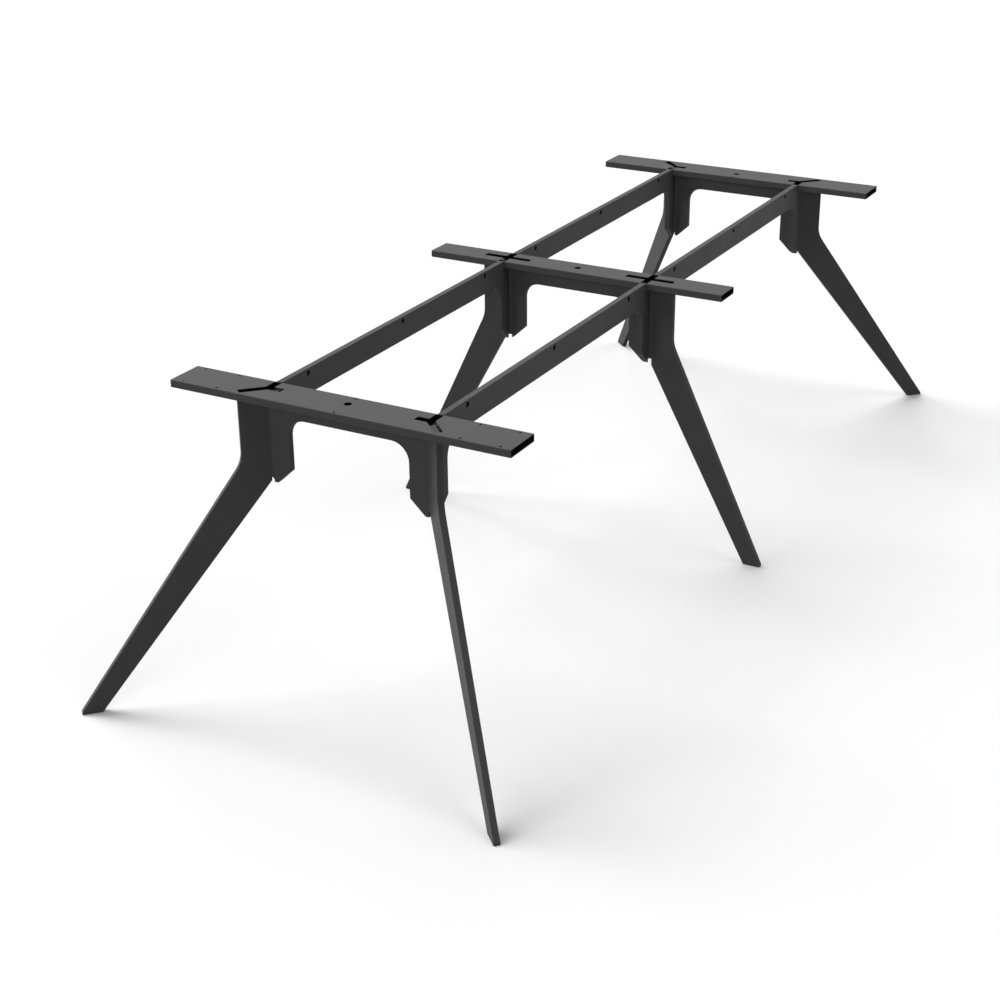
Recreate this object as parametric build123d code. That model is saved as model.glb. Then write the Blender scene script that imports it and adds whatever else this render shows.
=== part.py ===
from build123d import *
import math
import os

# Table frame of folded steel sheet: three slotted cross rails on six splayed legs, tied by four beams.
# X runs along the rails, Y along the beams and Z up. The origin is on the floor, under the middle.
# A node is where a leg, an apron and the beams meet. Each of its arms is two folded sheets back to back.

# Driving dimensions in millimetres
rail_top_height = 740.0
bay_length = 1087.0  # from the middle cross frame to an end cross frame, joint plane to joint plane
node_spacing = 411.0  # between the two node axes of a cross frame
sheet_thickness = 7.5
bend_inner_radius = 6.0

# Rails
rail_height = 18.0
rail_wall = 1.5
rail_corner_radius = 2.0
rail_inner_reach = 40.0  # from the joint plane to a rail edge that beams run into
rail_outer_margin = 6.26  # rail metal left outside the slot of a diagonal leg
end_rail_length = 854.0
middle_rail_length = 838.0
slot_clearance = 2.0  # also keeps the sharp slot corners clear of the folds
rail_side_gap = 0.5  # between a rail edge and the beam stub that rises beside it
centre_hole_diameter = 18.0
screw_hole_diameter = 6.5
screw_edge_distance = 8.0
screw_outer_inset = 28.0  # from the rail end to the outer screw hole
screw_inner_inset = 121.0  # from the rail end to the next screw hole

# Nodes, aprons and beams
tab_height = 3.0  # how far aprons and beam stubs rise into the rail
leg_tab_height = 10.0  # how far legs rise into the rail
end_apron_tab_reach = 34.0
middle_apron_tab_reach = 63.5
beam_depth = 60.0  # from the rail top to the underside of beams and aprons
node_depth = 220.0  # from the rail top to the underside of a node
flange_reach = 52.5  # from the node axis to the upright edge of an arm
flange_chamfer_height = 35.0
flange_tip_flat = 1.5
arch_radius = 43.0
stub_straight = 14.5  # straight stretch between the arch and the welded beam end
relief_height = 11.0  # notch under each fold
beam_hole_diameter = 13.0
beam_hole_drop = 11.5  # from the beam top to the hole centre
beam_hole_inset = 140.0  # from the joint plane to the hole near a beam end

# Legs
leg_reach_at_rail = 70.0  # from the node axis to the upright outer edge of a leg
leg_shoulder = 5.5  # ledge on the leg that carries the rail
leg_knee_height = 574.0
leg_knee_radius = 75.0
leg_root_reach = 9.0  # where the lower edge of a leg leaves the underside of the node
foot_length = 46.0
foot_tip_height = 6.0
end_leg_reach = 473.0  # from the node axis to the foot tip, along the leg
middle_leg_reach = 340.0
end_leg_splay = 45.0  # plan angle of an end leg to the rail, in degrees

# Derived places
rail_underside = rail_top_height - rail_height
tab_top = rail_underside + tab_height
leg_tab_top = rail_underside + leg_tab_height
beam_underside = rail_top_height - beam_depth
node_underside = rail_top_height - node_depth
fold_underside = node_underside + relief_height
bend_outer_radius = bend_inner_radius + sheet_thickness
flange_tip_reach = bend_outer_radius + flange_tip_flat
stub_reach = flange_reach + arch_radius + stub_straight
leg_tab_reach = leg_reach_at_rail - leg_shoulder
slot_half_width = sheet_thickness + slot_clearance
leg_slot_reach = leg_tab_reach + slot_clearance
beam_slot_reach = rail_inner_reach - rail_wall
beam_tab_reach = beam_slot_reach - slot_clearance
stub_side = rail_inner_reach + rail_side_gap
splay = math.radians(end_leg_splay)
leg_slot_depth = leg_slot_reach * math.sin(splay) + slot_half_width * math.cos(splay)
rail_outer_reach = leg_slot_depth + rail_outer_margin
end_node = Vector(node_spacing / 2, -bay_length, 0)
middle_node = Vector(node_spacing / 2, 0, 0)

# Headings of the arms of a right-hand node, in degrees anticlockwise from +X
apron_heading = 180.0
front_beam_heading = 270.0
rear_beam_heading = 90.0
end_leg_heading = -end_leg_splay
middle_leg_heading = 360.0


def heading_vector(heading):
    """Unit vector along a heading."""
    return Vector(math.cos(math.radians(heading)), math.sin(math.radians(heading)), 0)


def fold_start(heading_a, heading_b):
    """Distance from the node axis at which the flat part of a sheet folded between two arms starts."""
    return bend_outer_radius / math.tan(math.radians(heading_b - heading_a) / 2)


def rounded(outline, corner, radius):
    """Outline with the corner nearest to a point rounded."""
    vertex = outline.vertices().sort_by_distance((corner[0], corner[1], 0))[0]
    return fillet(vertex, radius)


def leg_outline(start, reach):
    """Leg seen square on: tab and shoulder under the rail, upright edge, knee, taper and foot."""
    foot_heel = reach - foot_length
    lower_slope = node_underside / (foot_heel - leg_root_reach)
    root_height = node_underside - (start - leg_root_reach) * lower_slope
    knee = (leg_reach_at_rail, leg_knee_height)
    outline = make_face(
        Polyline(
            (start, leg_tab_top),
            (leg_tab_reach, leg_tab_top),
            (leg_tab_reach, rail_underside),
            (leg_reach_at_rail, rail_underside),
            knee,
            (reach, foot_tip_height),
            (reach, 0),
            (foot_heel, 0),
            (start, root_height),
            close=True,
        )
    )
    return rounded(outline, knee, leg_knee_radius)


def beam_stub_outline(start):
    """Arm towards a beam: tab in the rail, notch for the rail's side wall, stub, arch and flange."""
    outline = make_face(
        Polyline(
            (start, tab_top),
            (beam_tab_reach, tab_top),
            (beam_tab_reach, rail_underside),
            (stub_side, rail_underside),
            (stub_side, rail_top_height),
            (stub_reach, rail_top_height),
            (stub_reach, beam_underside),
            (flange_reach, beam_underside),
            (flange_reach, node_underside + flange_chamfer_height),
            (flange_tip_reach, node_underside),
            (start, node_underside),
            close=True,
        )
    )
    return rounded(outline, (flange_reach, beam_underside), arch_radius)


def apron_outline(start, tab_reach):
    """Apron between two nodes: a tab, an arch and a chamfered flange at each end."""
    right_end = [
        (tab_reach, rail_underside),
        (tab_reach, tab_top),
        (start, tab_top),
        (start, node_underside),
        (flange_tip_reach, node_underside),
        (flange_reach, node_underside + flange_chamfer_height),
        (flange_reach, beam_underside),
    ]
    left_end = [(node_spacing - reach, height) for reach, height in reversed(right_end)]
    outline = make_face(Polyline(*right_end, *left_end, close=True))
    outline = rounded(outline, (flange_reach, beam_underside), arch_radius)
    return rounded(outline, (node_spacing - flange_reach, beam_underside), arch_radius)


def plate(node, heading, outline, side):
    """Sheet on one side of an arm's middle plane: side -1 is left of the heading and 1 is right."""
    along = heading_vector(heading)
    upright = Plane(origin=node, x_dir=along, z_dir=along.cross(Vector(0, 0, 1)))
    return extrude(upright * outline, amount=side * sheet_thickness)


def fold(node, heading_a, heading_b):
    """Bend from arm a to arm b, anticlockwise seen from above, clear of the rail and of the node's foot."""
    half_opening = (heading_b - heading_a) / 2
    centre = node + heading_vector(heading_a + half_opening) * (
        bend_outer_radius / math.sin(math.radians(half_opening))
    )
    turn = 180 - 2 * half_opening
    outer = CenterArc(centre, bend_outer_radius, heading_b + 90, turn)
    inner = CenterArc(centre, bend_inner_radius, heading_b + 90, turn)
    section = make_face([outer, inner, Line(outer @ 0, inner @ 0), Line(outer @ 1, inner @ 1)])
    return extrude(Pos(0, 0, fold_underside) * section, amount=rail_underside - fold_underside)


def corner_sheet(node, leg_heading, leg_reach, beam_heading, side):
    """Sheet folded from a leg into a beam stub; side is 1 where the beam is anticlockwise of the leg."""
    first, second = (leg_heading, beam_heading) if side > 0 else (beam_heading, leg_heading)
    start = fold_start(first, second)
    leg = plate(node, leg_heading, leg_outline(start, leg_reach), -side)
    stub = plate(node, beam_heading, beam_stub_outline(start), side)
    return leg + fold(node, first, second) + stub


def apron_sheet(node, tab_reach, first, second, end_plate):
    """Sheet with the apron in the middle and a folded arm at both nodes, mirrored about the middle."""
    start = fold_start(first, second)
    side = 1 if second == apron_heading else -1
    apron = plate(node, apron_heading, apron_outline(start, tab_reach), side)
    arm = fold(node, first, second) + end_plate(start)
    return apron + arm + mirror(arm, about=Plane.YZ)


def end_outer_sheet():
    """Outer sheet of the front cross frame: leg, apron and leg in one piece."""

    def leg(start):
        return plate(end_node, end_leg_heading, leg_outline(start, end_leg_reach), 1)

    return apron_sheet(end_node, end_apron_tab_reach, apron_heading, end_leg_heading + 360, leg)


def end_inner_sheet():
    """Inner sheet of the front cross frame: beam stub, apron and beam stub in one piece."""

    def stub(start):
        return plate(end_node, rear_beam_heading, beam_stub_outline(start), -1)

    return apron_sheet(end_node, end_apron_tab_reach, rear_beam_heading, apron_heading, stub)


def middle_front_sheet():
    """Front sheet of the middle cross frame: beam stub, apron and beam stub in one piece."""

    def stub(start):
        return plate(middle_node, front_beam_heading, beam_stub_outline(start), 1)

    return apron_sheet(middle_node, middle_apron_tab_reach, apron_heading, front_beam_heading, stub)


def slot_outline(node, arms):
    """Opening in a rail round a right-hand node; arms holds a heading and a reach for each arm."""
    opening = Sketch()
    for heading, reach in arms:
        arm = Pos(reach / 2, 0) * Rectangle(reach, 2 * slot_half_width)
        opening += Rot(0, 0, heading) * arm
    return Pos(node.X, node.Y) * opening


def rail(length, front_edge, rear_edge, slot):
    """Rectangular tube with open ends, slotted for two nodes."""
    width = rear_edge - front_edge
    section = RectangleRounded(width, rail_height, rail_corner_radius)
    bore = Rectangle(width - 2 * rail_wall, rail_height - 2 * rail_wall)
    middle = Pos((front_edge + rear_edge) / 2, rail_underside + rail_height / 2)
    tube = extrude(Plane.YZ * middle * (section - bore), amount=length / 2, both=True)
    right_slot = extrude(Pos(0, 0, rail_underside) * slot, amount=rail_height)
    return tube - (right_slot + mirror(right_slot, about=Plane.YZ))


def screw_holes(front_edge, rear_edge):
    """Drills for the table top's screws, through both walls of an end rail along its two long edges."""
    inner = end_rail_length / 2 - screw_inner_inset
    outer = end_rail_length / 2 - screw_outer_inset
    drill = Pos(0, 0, rail_underside) * Circle(screw_hole_diameter / 2)
    drills = Part()
    for x in (-outer, -inner, 0, inner, outer):
        for y in (front_edge + screw_edge_distance, rear_edge - screw_edge_distance):
            drills += extrude(Pos(x, y) * drill, amount=rail_height)
    return drills


def end_rail():
    """Rail of the front cross frame, wider outside the joint plane for the diagonal legs."""
    slot = slot_outline(
        end_node,
        (
            (end_leg_heading, leg_slot_reach),
            (apron_heading, end_apron_tab_reach + slot_clearance),
            (rear_beam_heading, beam_slot_reach),
        ),
    )
    front_edge = -bay_length - rail_outer_reach
    rear_edge = -bay_length + rail_inner_reach
    tube = rail(end_rail_length, front_edge, rear_edge, slot)
    return tube - screw_holes(front_edge, rear_edge) - centre_hole(-bay_length)


def middle_rail():
    """Rail of the middle cross frame, with beams running into both edges."""
    slot = slot_outline(
        middle_node,
        (
            (middle_leg_heading, leg_slot_reach),
            (apron_heading, middle_apron_tab_reach + slot_clearance),
            (front_beam_heading, beam_slot_reach),
            (rear_beam_heading, beam_slot_reach),
        ),
    )
    return rail(middle_rail_length, -rail_inner_reach, rail_inner_reach, slot) - centre_hole(0)


def centre_hole(joint_plane):
    """Drill for the hole in the top wall of a rail, over the apron joint."""
    drill = Pos(0, joint_plane, rail_top_height - rail_wall) * Circle(centre_hole_diameter / 2)
    return extrude(drill, amount=rail_wall)


def beam():
    """Flat bar of the front right bay with three cross holes below its top edge."""
    length = bay_length - 2 * stub_reach
    middle = Pos(node_spacing / 2, -bay_length / 2, rail_top_height - beam_depth / 2)
    bar = middle * Box(2 * sheet_thickness, length, beam_depth)
    hole_offset = bay_length / 2 - beam_hole_inset
    for offset in (-hole_offset, 0, hole_offset):
        place = Pos(node_spacing / 2, offset - bay_length / 2, rail_top_height - beam_hole_drop)
        bar -= place * Rot(0, 90, 0) * Cylinder(beam_hole_diameter / 2, 2 * sheet_thickness)
    return bar


def mirrored_left(name, piece):
    """A right-hand piece and its left-hand mirror image."""
    return {name.replace("left", "right"): piece, name: mirror(piece, about=Plane.YZ)}


def mirrored_rear(pieces):
    """Front pieces and their mirror images at the rear."""
    both = dict(pieces)
    for name, piece in pieces.items():
        both[name.replace("front", "rear")] = mirror(piece, about=Plane.XZ)
    return both


def build_frame():
    """Every piece of the frame, by name."""
    end_corner = corner_sheet(end_node, end_leg_heading, end_leg_reach, rear_beam_heading, 1)
    middle_corner = corner_sheet(middle_node, middle_leg_heading, middle_leg_reach, front_beam_heading, -1)
    front = {
        "front_rail": end_rail(),
        "front_leg_apron_sheet": end_outer_sheet(),
        "front_inner_apron_sheet": end_inner_sheet(),
        "middle_front_apron_sheet": middle_front_sheet(),
        **mirrored_left("front_left_corner_sheet", end_corner),
        **mirrored_left("middle_left_front_corner_sheet", middle_corner),
        **mirrored_left("front_left_beam", beam()),
    }
    return {"middle_rail": middle_rail(), **mirrored_rear(front)}


os.makedirs("parts", exist_ok=True)
for node_name, solid in build_frame().items():
    export_step(solid, f"parts/{node_name}.step")
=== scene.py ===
"""Finish and studio for a table frame of folded steel sheet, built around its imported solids."""
import math

import bpy
import bmesh
from bpy.props import FloatProperty, FloatVectorProperty, IntProperty, PointerProperty
from mathutils import Matrix, Quaternion, Vector


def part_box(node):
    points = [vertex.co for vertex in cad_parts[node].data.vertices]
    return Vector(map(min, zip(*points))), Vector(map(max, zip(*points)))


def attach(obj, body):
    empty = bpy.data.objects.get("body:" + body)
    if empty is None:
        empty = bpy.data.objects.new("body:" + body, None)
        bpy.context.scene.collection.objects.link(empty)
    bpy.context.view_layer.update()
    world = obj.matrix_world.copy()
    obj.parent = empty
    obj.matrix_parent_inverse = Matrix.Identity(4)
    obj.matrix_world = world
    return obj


bl_info = {
    "name": "Table frame finish",
    "version": (1, 0, 0),
    "blender": (4, 5, 0),
    "location": "View3D > Sidebar > Table frame",
    "description": "Powder-coats a folded sheet table frame and sets it in a plain studio",
    "category": "Object",
}

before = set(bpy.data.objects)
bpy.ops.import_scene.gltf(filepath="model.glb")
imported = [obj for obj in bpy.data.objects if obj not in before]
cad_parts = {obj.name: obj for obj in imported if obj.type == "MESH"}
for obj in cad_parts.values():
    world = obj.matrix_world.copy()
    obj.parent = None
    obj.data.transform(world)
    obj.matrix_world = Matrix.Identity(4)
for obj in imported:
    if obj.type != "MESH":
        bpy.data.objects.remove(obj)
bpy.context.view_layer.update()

BODY = "root"

# Lengths in metres, angles in radians
HAIR = 0.0001  # keeps a boundary clear of the face that it follows
JOIN_DISTANCE = 0.00001  # nearer corners of a solid's loose triangles are one corner
FLAT_ANGLE = math.radians(0.5)  # facets that meet at less than this become one face
SHARP_ANGLE = math.radians(32)  # edges that turn by more than this are rounded
FLAT_WEIGHT = 100  # how much large faces keep their own direction in the shading
WELD_SEGMENTS = 3

# Soft patches of the coat: range of the noise that they use, and how far they depart from the mean
MOTTLE_RANGE = (0.3, 0.7)
MOTTLE_TINT = 0.05
MOTTLE_GLOSS = 0.05

# Strength setting, azimuth from the front in degrees, height setting and share of the softness
LAMPS = (
    ("left_high", -90, "high_angle", 1.0),
    ("left_low", -90, "low_angle", 1.0),
    ("back_high", -135, "high_angle", 1.0),
    ("right_high", 90, "high_angle", 1.0),
    ("right_low", 135, "low_angle", 1.0),
    ("front_low", 12, "low_angle", 1.0),
    ("front_left_low", -30, "low_angle", 0.5),
)

rail_nodes = [name for name in sorted(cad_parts) if name.endswith("_rail")]
sheet_nodes = [name for name in sorted(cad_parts) if name.endswith("_sheet")]
beam_nodes = [name for name in sorted(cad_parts) if name.endswith("_beam")]


class CoatSettings(bpy.types.PropertyGroup):
    """Colour and texture of the powder coat, and the painted shade inside its hollows."""

    colour: FloatVectorProperty(
        name="Coat colour",
        description="Charcoal of the powder coat",
        subtype="COLOR",
        size=3,
        min=0.0,
        max=1.0,
        default=(0.06, 0.06, 0.0605),
    )
    # Painted shade: this near-black colour stands in for the shade inside the tubes and the beam holes,
    # not for a thinner coat there.
    painted_shade_colour: FloatVectorProperty(
        name="Hollow colour",
        description="Dark inside of tubes and holes, where little powder settles",
        subtype="COLOR",
        size=3,
        min=0.0,
        max=1.0,
        default=(0.004, 0.004, 0.004),
    )
    roughness: FloatProperty(
        name="Roughness",
        description="Mean roughness of the matt coat",
        subtype="FACTOR",
        min=0.0,
        max=1.0,
        default=0.52,
    )
    shine: FloatProperty(
        name="Shine",
        description="Specular level of the matt coat",
        subtype="FACTOR",
        min=0.0,
        max=1.0,
        default=0.08,
    )
    grain_size: FloatProperty(
        name="Grain size",
        description="Spacing of the fine bumps in the coat",
        unit="LENGTH",
        min=0.0001,
        max=0.01,
        default=0.0009,
    )
    grain_depth: FloatProperty(
        name="Grain depth",
        description="Height of the fine bumps in the coat",
        unit="LENGTH",
        min=0.0,
        max=0.001,
        default=0.00006,
    )
    mottle_size: FloatProperty(
        name="Mottle size",
        description="Spacing of the soft patches where the coat is thicker or thinner",
        unit="LENGTH",
        min=0.005,
        max=1.0,
        default=0.09,
    )


class EdgeSettings(bpy.types.PropertyGroup):
    """Rounding that the coat leaves on cut edges."""

    sheet_round: FloatProperty(
        name="Sheet edge",
        description="Width of the rounding on edges of sheets and beams",
        unit="LENGTH",
        min=0.0,
        max=0.003,
        default=0.0008,
    )
    rail_round: FloatProperty(
        name="Rail edge",
        description="Width of the rounding on tube ends, slots and holes",
        unit="LENGTH",
        min=0.0,
        max=0.002,
        default=0.0004,
    )
    segments: IntProperty(
        name="Segments",
        description="Facets across a rounded edge",
        min=1,
        max=6,
        default=2,
    )
    rail_wall: FloatProperty(
        name="Rail wall",
        description="Wall of the tubes, where their dark inside begins",
        unit="LENGTH",
        min=0.0005,
        max=0.005,
        default=0.0015,
    )


class WeldSettings(bpy.types.PropertyGroup):
    """Dressed welds of the beams, and the plates that close the slots."""

    width: FloatProperty(
        name="Weld width",
        description="Length of a weld along its beam",
        unit="LENGTH",
        min=0.003,
        max=0.02,
        default=0.005,
    )
    rise: FloatProperty(
        name="Weld rise",
        description="How far a weld stands out from the sides and the underside",
        unit="LENGTH",
        min=0.0001,
        max=0.002,
        default=0.0003,
    )
    cap: FloatProperty(
        name="Weld cap",
        description="How far a weld stands out from the top, where it is ground down",
        unit="LENGTH",
        min=0.00002,
        max=0.001,
        default=0.00005,
    )
    shoulder: FloatProperty(
        name="Weld shoulder",
        description="Radius with which a weld runs out",
        unit="LENGTH",
        min=0.0002,
        max=0.002,
        default=0.0012,
    )
    plate_length: FloatProperty(
        name="Slot plate length",
        description="Length along a rail of the thin plate that closes a slot from below",
        unit="LENGTH",
        min=0.14,
        max=0.3,
        default=0.15,
    )
    plate_sink: FloatProperty(
        name="Slot plate sink",
        description="How far a slot plate lies in from the underside of its rail",
        unit="LENGTH",
        min=0.0001,
        max=0.001,
        default=0.0003,
    )


class StageSettings(bpy.types.PropertyGroup):
    """Camera, lamps and floor."""

    view_azimuth: FloatProperty(
        name="View azimuth",
        description="How far the camera stands round towards +X, seen from the front",
        subtype="ANGLE",
        default=math.radians(29.113),
    )
    view_elevation: FloatProperty(
        name="View elevation",
        description="How far the camera stands above the horizon",
        subtype="ANGLE",
        default=math.radians(24.564),
    )
    view_roll: FloatProperty(
        name="View roll",
        description="Turn of the camera about its own axis",
        subtype="ANGLE",
        default=math.radians(-0.514),
    )
    view_aim: FloatVectorProperty(
        name="View aim",
        description="Point in the middle of the picture",
        subtype="TRANSLATION",
        unit="LENGTH",
        size=3,
        default=(0.0, -0.4265, 0.2487),
    )
    view_distance: FloatProperty(
        name="View distance",
        description="From the camera to the point that it aims at",
        unit="LENGTH",
        default=4.574,
    )
    lens: FloatProperty(
        name="Lens",
        description="Focal length on a sensor 36 mm wide",
        subtype="DISTANCE_CAMERA",
        default=65.19,
    )
    floor_size: FloatProperty(
        name="Floor size",
        description="Side of the square floor",
        unit="LENGTH",
        default=60.0,
    )
    floor_colour: FloatVectorProperty(
        name="Floor colour",
        description="Pale colour of the floor",
        subtype="COLOR",
        size=3,
        min=0.0,
        max=1.0,
        default=(0.74, 0.74, 0.74),
    )
    floor_bounce: FloatProperty(
        name="Floor bounce",
        description="How much of its light the floor throws back on the frame",
        subtype="FACTOR",
        min=0.0,
        max=1.0,
        default=0.2,
    )
    left_high: FloatProperty(
        name="Left high lamp",
        description="Strength of the high lamp on the left",
        min=0.0,
        default=2.4,
    )
    left_low: FloatProperty(
        name="Left low lamp",
        description="Strength of the low lamp on the left",
        min=0.0,
        default=1.2,
    )
    back_high: FloatProperty(
        name="Back high lamp",
        description="Strength of the high lamp behind on the left",
        min=0.0,
        default=1.2,
    )
    right_high: FloatProperty(
        name="Right high lamp",
        description="Strength of the high lamp on the right",
        min=0.0,
        default=0.87,
    )
    right_low: FloatProperty(
        name="Right low lamp",
        description="Strength of the low lamp behind on the right",
        min=0.0,
        default=0.31,
    )
    front_low: FloatProperty(
        name="Front low lamp",
        description="Strength of the low lamp in front",
        min=0.0,
        default=0.76,
    )
    front_left_low: FloatProperty(
        name="Front left low lamp",
        description="Strength of the small low lamp in front on the left",
        min=0.0,
        default=0.5,
    )
    high_angle: FloatProperty(
        name="High lamps",
        description="How far the high lamps stand above the horizon",
        subtype="ANGLE",
        default=math.radians(52),
    )
    low_angle: FloatProperty(
        name="Low lamps",
        description="How far the low lamps stand above the horizon",
        subtype="ANGLE",
        default=math.radians(18),
    )
    lamp_softness: FloatProperty(
        name="Lamp softness",
        description="Angle that a lamp covers, seen from the frame; the small one covers half of it",
        subtype="ANGLE",
        default=math.radians(40),
    )


class FrameSettings(bpy.types.PropertyGroup):
    """All settings of the table frame."""

    coat: PointerProperty(type=CoatSettings)
    edges: PointerProperty(type=EdgeSettings)
    welds: PointerProperty(type=WeldSettings)
    stage: PointerProperty(type=StageSettings)


def link(tree, source, target):
    """Joins an output socket to an input socket."""
    tree.links.new(source, target)


def calculate(tree, kind, operation, *sockets):
    """Adds a Math or Vector Math node that works on sockets, and gives its result."""
    step = tree.nodes.new(kind)
    step.operation = operation
    for place, socket in zip(step.inputs, sockets):
        link(tree, socket, place)
    return step.outputs[0]


def start_group(name, inputs, outputs):
    """New node group with named sockets, and its input, output and object coordinates."""
    tree = bpy.data.node_groups.new(name, "ShaderNodeTree")
    for side, sockets in (("INPUT", inputs), ("OUTPUT", outputs)):
        for label, kind in sockets:
            tree.interface.new_socket(label, in_out=side, socket_type="NodeSocket" + kind)
    given = tree.nodes.new("NodeGroupInput").outputs
    made = tree.nodes.new("NodeGroupOutput").inputs
    place = tree.nodes.new("ShaderNodeTexCoord").outputs["Object"]
    return tree, given, made, place


def noise(tree, place, scale, detail, roughness):
    """Adds a noise texture on a place and gives its value."""
    texture = tree.nodes.new("ShaderNodeTexNoise")
    texture.inputs["Detail"].default_value = detail
    texture.inputs["Roughness"].default_value = roughness
    link(tree, place, texture.inputs["Vector"])
    link(tree, scale, texture.inputs["Scale"])
    return texture.outputs["Fac"]


def patches(tree, value, mean, spread):
    """Maps the noise of the soft patches to values round a mean."""
    step = tree.nodes.new("ShaderNodeMapRange")
    step.inputs["From Min"].default_value, step.inputs["From Max"].default_value = MOTTLE_RANGE
    step.inputs["To Min"].default_value = mean - spread
    step.inputs["To Max"].default_value = mean + spread
    link(tree, value, step.inputs["Value"])
    return step.outputs["Result"]


def powder_grain_group():
    """Node group of the coat's texture: soft patches in colour and gloss, and fine bumps."""
    name = "powder_grain"
    if name in bpy.data.node_groups:
        return bpy.data.node_groups[name]
    tree, given, made, place = start_group(
        name,
        (("Colour", "Color"), ("Roughness", "Float"), ("Grain Scale", "Float"), ("Mottle Scale", "Float")),
        (("Colour", "Color"), ("Roughness", "Float"), ("Height", "Float")),
    )
    mottle = noise(tree, place, given["Mottle Scale"], 3.0, 0.5)
    tint = calculate(tree, "ShaderNodeVectorMath", "SCALE", given["Colour"])
    link(tree, patches(tree, mottle, 1.0, MOTTLE_TINT), tint.node.inputs["Scale"])
    link(tree, tint, made["Colour"])
    gloss = patches(tree, mottle, 0.0, MOTTLE_GLOSS)
    rough = calculate(tree, "ShaderNodeMath", "ADD", given["Roughness"], gloss)
    link(tree, rough, made["Roughness"])
    link(tree, noise(tree, place, given["Grain Scale"], 2.0, 0.6), made["Height"])
    return tree


def hollow_shade_group():
    """Node group that paints shade over what lies in a box, alike on both sides of the middle planes."""
    name = "hollow_shade"
    if name in bpy.data.node_groups:
        return bpy.data.node_groups[name]
    tree, given, made, place = start_group(
        name,
        (("Colour", "Color"), ("Hollow Colour", "Color"), ("Centre", "Vector"), ("Half Size", "Vector")),
        (("Colour", "Color"),),
    )
    vectors, numbers = "ShaderNodeVectorMath", "ShaderNodeMath"
    mirrored = calculate(tree, vectors, "ABSOLUTE", place)
    offset = calculate(tree, vectors, "SUBTRACT", mirrored, given["Centre"])
    distance = calculate(tree, vectors, "ABSOLUTE", offset)
    room = calculate(tree, vectors, "SUBTRACT", given["Half Size"], distance)
    axes = tree.nodes.new("ShaderNodeSeparateXYZ")
    link(tree, room, axes.inputs["Vector"])
    least = axes.outputs["X"]
    for axis in ("Y", "Z"):
        least = calculate(tree, numbers, "MINIMUM", least, axes.outputs[axis])
    inside = calculate(tree, numbers, "GREATER_THAN", least)
    inside.node.inputs[1].default_value = 0.0
    # Painted shade: inside the box the coat colour gives way to the dark shade colour.
    shade = tree.nodes.new("ShaderNodeMix")
    shade.data_type = "RGBA"
    link(tree, inside, shade.inputs["Factor"])
    link(tree, given["Colour"], shade.inputs["A"])
    link(tree, given["Hollow Colour"], shade.inputs["B"])
    link(tree, shade.outputs["Result"], made["Colour"])
    return tree


def box_corners(name):
    """Lowest and highest corner of a solid's box."""
    low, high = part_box(name)
    return Vector(low), Vector(high)


def hollow_box(name, inset):
    """Centre and half size of a solid's box, drawn in by an inset along each axis."""
    low, high = box_corners(name)
    centre = (low + high) / 2
    return [abs(value) for value in centre], (high - low) / 2 - Vector(inset)


def coat_material(name, coat, hollow=None):
    """Matt charcoal powder coat, with painted shade in a hollow."""
    material = bpy.data.materials.new(name)
    material.use_nodes = True
    tree = material.node_tree
    shader = tree.nodes["Principled BSDF"]
    shader.inputs["Specular IOR Level"].default_value = coat.shine
    grain = tree.nodes.new("ShaderNodeGroup")
    grain.node_tree = powder_grain_group()
    grain.inputs["Colour"].default_value = (*coat.colour, 1.0)
    grain.inputs["Roughness"].default_value = coat.roughness
    grain.inputs["Grain Scale"].default_value = 1.0 / coat.grain_size
    grain.inputs["Mottle Scale"].default_value = 1.0 / coat.mottle_size
    bump = tree.nodes.new("ShaderNodeBump")
    bump.inputs["Distance"].default_value = coat.grain_depth
    link(tree, grain.outputs["Height"], bump.inputs["Height"])
    colour = grain.outputs["Colour"]
    # Painted shade: where a hollow box is given, its inside takes the dark shade colour.
    if hollow:
        shade = tree.nodes.new("ShaderNodeGroup")
        shade.node_tree = hollow_shade_group()
        shade.inputs["Hollow Colour"].default_value = (*coat.painted_shade_colour, 1.0)
        shade.inputs["Centre"].default_value, shade.inputs["Half Size"].default_value = hollow
        link(tree, colour, shade.inputs["Colour"])
        colour = shade.outputs["Colour"]
    link(tree, colour, shader.inputs["Base Color"])
    link(tree, grain.outputs["Roughness"], shader.inputs["Roughness"])
    link(tree, bump.outputs["Normal"], shader.inputs["Normal"])
    return material


def keep_flats(piece):
    """Shades large faces flat, so that only rounded edges turn the light."""
    piece.modifiers.new("shade", "WEIGHTED_NORMAL").weight = FLAT_WEIGHT


def round_edges(piece, width, segments):
    """Joins the loose triangles of a solid and rounds its sharp edges."""
    join = piece.modifiers.new("join", "WELD")
    join.merge_threshold = JOIN_DISTANCE
    flat = piece.modifiers.new("flatten", "DECIMATE")
    flat.decimate_type = "DISSOLVE"
    flat.angle_limit = FLAT_ANGLE
    bevel = piece.modifiers.new("round", "BEVEL")
    bevel.width = width
    bevel.segments = segments
    bevel.limit_method = "ANGLE"
    bevel.angle_limit = SHARP_ANGLE
    bevel.use_clamp_overlap = False
    keep_flats(piece)


def finish_nodes(names, material, width, segments):
    """Gives solids of the frame their coat and rounded edges."""
    for name in names:
        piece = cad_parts[name]
        piece.data.materials.clear()
        piece.data.materials.append(material)
        round_edges(piece, width, segments)


def add_piece(name, shape, material):
    """Makes a coated piece of the frame from a finished shape."""
    mesh = bpy.data.meshes.new(name)
    shape.to_mesh(mesh)
    shape.free()
    mesh.materials.append(material)
    piece = bpy.data.objects.new(name, mesh)
    bpy.context.scene.collection.objects.link(piece)
    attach(piece, BODY)
    return piece


def add_block(shape, low, high):
    """Adds a plain block between two corners and gives its vertices."""
    place = Matrix.LocRotScale((low + high) / 2, None, high - low)
    return bmesh.ops.create_cube(shape, size=1.0, matrix=place)["verts"]


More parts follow.
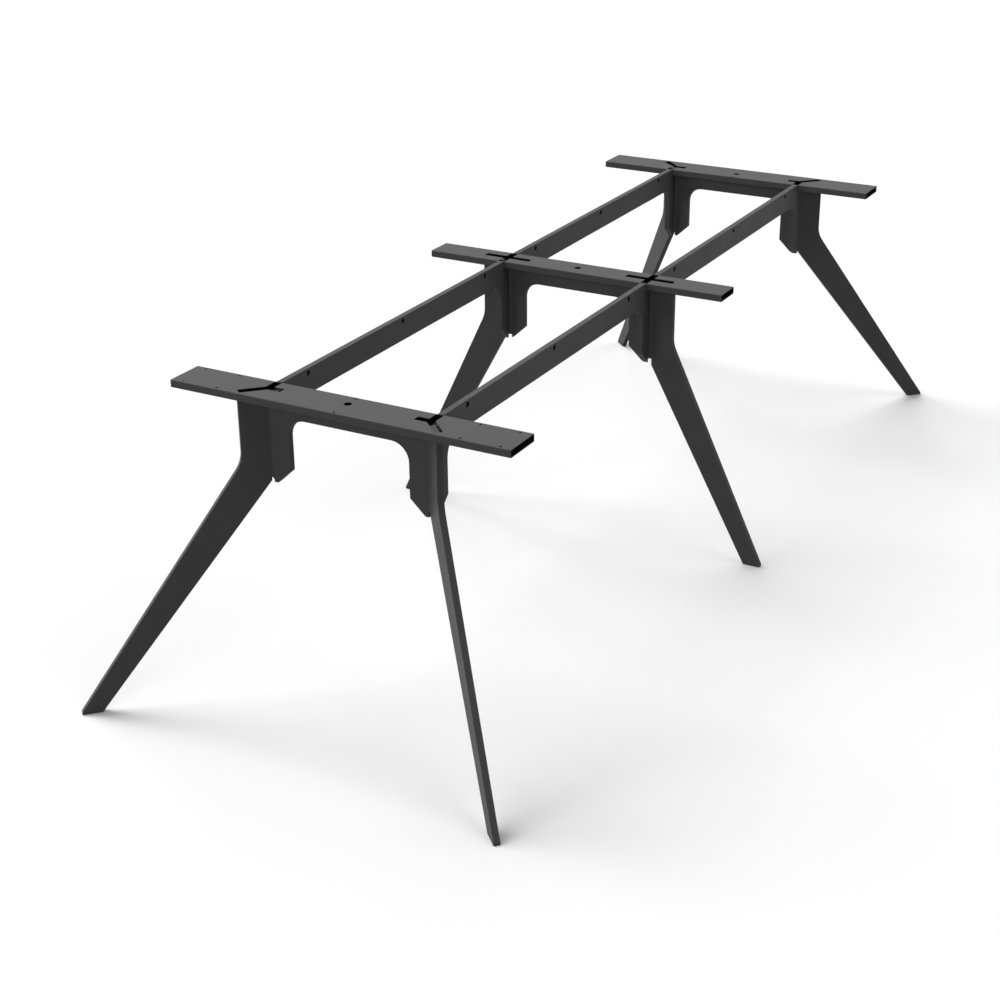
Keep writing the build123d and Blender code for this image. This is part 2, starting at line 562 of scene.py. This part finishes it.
def add_weld(shape, low, high, weld):
    """Adds a band round the section between two corners, with rounded shoulders."""
    low = low - Vector((weld.rise, weld.width / 2, weld.rise))
    high = high + Vector((weld.rise, weld.width / 2, weld.cap))
    corners = add_block(shape, low, high)
    edges = list({edge for corner in corners for edge in corner.link_edges})
    bmesh.ops.bevel(
        shape,
        geom=edges,
        offset=weld.shoulder,
        segments=WELD_SEGMENTS,
        profile=0.5,
        affect="EDGES",
        material=-1,
    )


class TABLEFRAME_OT_finish_rails(bpy.types.Operator):
    """Coat the cross rails and round their tube ends, slots and holes"""

    bl_idname = "table_frame.finish_rails"
    bl_label = "Finish rails"

    def execute(self, context):
        settings = context.scene.table_frame
        edges = settings.edges
        inset = edges.rail_wall - HAIR
        for name in rail_nodes:
            # Painted shade: the inside of each tube, within its walls, is coloured dark.
            hollow = hollow_box(name, (0.0, inset, inset))
            material = coat_material(name + "_coat", settings.coat, hollow)
            finish_nodes([name], material, edges.rail_round, edges.segments)
        return {"FINISHED"}


class TABLEFRAME_OT_finish_sheets(bpy.types.Operator):
    """Coat the folded sheets of the legs, aprons and beam stubs"""

    bl_idname = "table_frame.finish_sheets"
    bl_label = "Finish folded sheets"

    def execute(self, context):
        settings = context.scene.table_frame
        edges = settings.edges
        material = coat_material("sheet_coat", settings.coat)
        finish_nodes(sheet_nodes, material, edges.sheet_round, edges.segments)
        return {"FINISHED"}


class TABLEFRAME_OT_finish_beams(bpy.types.Operator):
    """Coat the long beams and paint shade on the walls of their cross holes"""

    bl_idname = "table_frame.finish_beams"
    bl_label = "Finish beams"

    def execute(self, context):
        settings = context.scene.table_frame
        edges = settings.edges
        # The beams mirror each other, so the box of one serves them all
        inset = edges.sheet_round - HAIR
        # Painted shade: the box reaches the walls of the cross holes, which are coloured dark.
        hollow = hollow_box(beam_nodes[0], (inset, 0.0, 2 * inset))
        material = coat_material("beam_coat", settings.coat, hollow)
        finish_nodes(beam_nodes, material, edges.sheet_round, edges.segments)
        return {"FINISHED"}


class TABLEFRAME_OT_add_welds(bpy.types.Operator):
    """Add the dressed welds that join each end of a beam to the folded sheets"""

    bl_idname = "table_frame.add_welds"
    bl_label = "Add welds"

    def execute(self, context):
        settings = context.scene.table_frame
        shape = bmesh.new()
        for name in beam_nodes:
            low, high = box_corners(name)
            for end in (low.y, high.y):
                bottom = Vector((low.x, end, low.z))
                top = Vector((high.x, end, high.z))
                add_weld(shape, bottom, top, settings.welds)
        for face in shape.faces:
            face.smooth = True
        material = coat_material("weld_coat", settings.coat)
        keep_flats(add_piece("beam_welds", shape, material))
        return {"FINISHED"}


class TABLEFRAME_OT_close_slots(bpy.types.Operator):
    """Add the thin plates in the lower walls of the rails that close the slots round the tabs"""

    bl_idname = "table_frame.close_slots"
    bl_label = "Close slots"

    def execute(self, context):
        settings = context.scene.table_frame
        wall, sink = settings.edges.rail_wall, settings.welds.plate_sink
        half = settings.welds.plate_length / 2
        beam_low, beam_high = box_corners(beam_nodes[0])
        node_axis = abs(beam_low.x + beam_high.x) / 2
        for name in rail_nodes:
            low, high = box_corners(name)
            shape = bmesh.new()
            for middle in (-node_axis, node_axis):
                add_block(
                    shape,
                    Vector((middle - half, low.y + wall - sink, low.z + sink)),
                    Vector((middle + half, high.y - wall + sink, low.z + wall + HAIR)),
                )
            # The plates take their rail's coat, so their tops inside the tube carry its painted shade.
            add_piece(name + "_slot_plates", shape, bpy.data.materials[name + "_coat"])
        return {"FINISHED"}


def outward(azimuth, elevation):
    """Unit vector towards a place at an azimuth from the front and an elevation."""
    level = math.cos(elevation)
    return Vector((math.sin(azimuth) * level, -math.cos(azimuth) * level, math.sin(elevation)))


def add_camera(stage):
    """Camera at the photograph's viewing angle."""
    camera = bpy.data.objects.new("camera", bpy.data.cameras.new("camera"))
    bpy.context.scene.collection.objects.link(camera)
    back = outward(stage.view_azimuth, stage.view_elevation)
    camera.location = Vector(stage.view_aim) + back * stage.view_distance
    camera.rotation_mode = "QUATERNION"
    level = (-back).to_track_quat("-Z", "Y")
    camera.rotation_quaternion = level @ Quaternion((0, 0, 1), stage.view_roll)
    camera.data.lens = stage.lens
    bpy.context.scene.camera = camera


def add_sun(name, azimuth, elevation, strength, softness):
    """Soft lamp that shines evenly from one side."""
    lamp = bpy.data.lights.new(name, "SUN")
    lamp.energy = strength
    lamp.angle = softness
    sun = bpy.data.objects.new(name, lamp)
    sun.rotation_mode = "QUATERNION"
    sun.rotation_quaternion = outward(azimuth, elevation).to_track_quat("Z", "Y")
    bpy.context.scene.collection.objects.link(sun)


def seen_directly(tree):
    """Socket that is 1 where the camera sees a surface, also in a reflection or through glass."""
    path = tree.nodes.new("ShaderNodeLightPath")
    seen = path.outputs["Is Camera Ray"]
    for kind in ("Is Glossy Ray", "Is Transmission Ray"):
        seen = calculate(tree, "ShaderNodeMath", "MAXIMUM", seen, path.outputs[kind])
    return seen


def add_floor(stage):
    """Plain pale floor under the feet."""
    shape = bmesh.new()
    bmesh.ops.create_grid(shape, x_segments=1, y_segments=1, size=stage.floor_size / 2)
    mesh = bpy.data.meshes.new("floor")
    shape.to_mesh(mesh)
    shape.free()
    floor = bpy.data.objects.new("floor", mesh)
    bpy.context.scene.collection.objects.link(floor)
    material = bpy.data.materials.new("floor")
    material.use_nodes = True
    tree = material.node_tree
    shader = tree.nodes["Principled BSDF"]
    shader.inputs["Roughness"].default_value = 1.0
    shader.inputs["Specular IOR Level"].default_value = 0.0
    colour = tree.nodes.new("ShaderNodeMix")
    colour.data_type = "RGBA"
    bounce = stage.floor_bounce
    colour.inputs["A"].default_value = (bounce, bounce, bounce, 1.0)
    colour.inputs["B"].default_value = (*stage.floor_colour, 1.0)
    link(tree, seen_directly(tree), colour.inputs["Factor"])
    link(tree, colour.outputs["Result"], shader.inputs["Base Color"])
    mesh.materials.append(material)


def add_world():
    """White surroundings, seen but not lighting the frame."""
    world = bpy.data.worlds.new("studio")
    bpy.context.scene.world = world
    world.use_nodes = True
    tree = world.node_tree
    shade = tree.nodes["Background"]
    shade.inputs["Color"].default_value = (1.0, 1.0, 1.0, 1.0)
    link(tree, seen_directly(tree), shade.inputs["Strength"])


class TABLEFRAME_OT_set_stage(bpy.types.Operator):
    """Set the camera, the soft lamps, the white surroundings and the floor"""

    bl_idname = "table_frame.set_stage"
    bl_label = "Set stage"

    def execute(self, context):
        stage = context.scene.table_frame.stage
        add_camera(stage)
        for name, azimuth, height, share in LAMPS:
            add_sun(
                name + "_lamp",
                math.radians(azimuth),
                getattr(stage, height),
                getattr(stage, name),
                share * stage.lamp_softness,
            )
        add_floor(stage)
        add_world()
        context.scene.view_settings.view_transform = "Standard"
        return {"FINISHED"}


class TABLEFRAME_PT_panel(bpy.types.Panel):
    """Settings and steps of the table frame"""

    bl_idname = "TABLEFRAME_PT_panel"
    bl_label = "Table frame"
    bl_space_type = "VIEW_3D"
    bl_region_type = "UI"
    bl_category = "Table frame"

    def draw(self, context):
        settings = context.scene.table_frame
        for group in (settings.coat, settings.edges, settings.welds, settings.stage):
            box = self.layout.box()
            for name in group.__annotations__:
                box.prop(group, name)
        for step in STEPS:
            self.layout.operator(step.bl_idname)


STEPS = (
    TABLEFRAME_OT_finish_rails,
    TABLEFRAME_OT_finish_sheets,
    TABLEFRAME_OT_finish_beams,
    TABLEFRAME_OT_add_welds,
    TABLEFRAME_OT_close_slots,
    TABLEFRAME_OT_set_stage,
)
CLASSES = (
    CoatSettings,
    EdgeSettings,
    WeldSettings,
    StageSettings,
    FrameSettings,
    *STEPS,
    TABLEFRAME_PT_panel,
)


def register():
    """Adds the classes and the scene's settings."""
    for item in CLASSES:
        bpy.utils.register_class(item)
    bpy.types.Scene.table_frame = PointerProperty(type=FrameSettings)


def unregister():
    """Takes the settings and the classes away again."""
    del bpy.types.Scene.table_frame
    for item in reversed(CLASSES):
        bpy.utils.unregister_class(item)


def main():
    """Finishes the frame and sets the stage."""
    register()
    bpy.ops.table_frame.finish_rails()
    bpy.ops.table_frame.finish_sheets()
    bpy.ops.table_frame.finish_beams()
    bpy.ops.table_frame.add_welds()
    bpy.ops.table_frame.close_slots()
    bpy.ops.table_frame.set_stage()


if __name__ == "__main__":
    main()
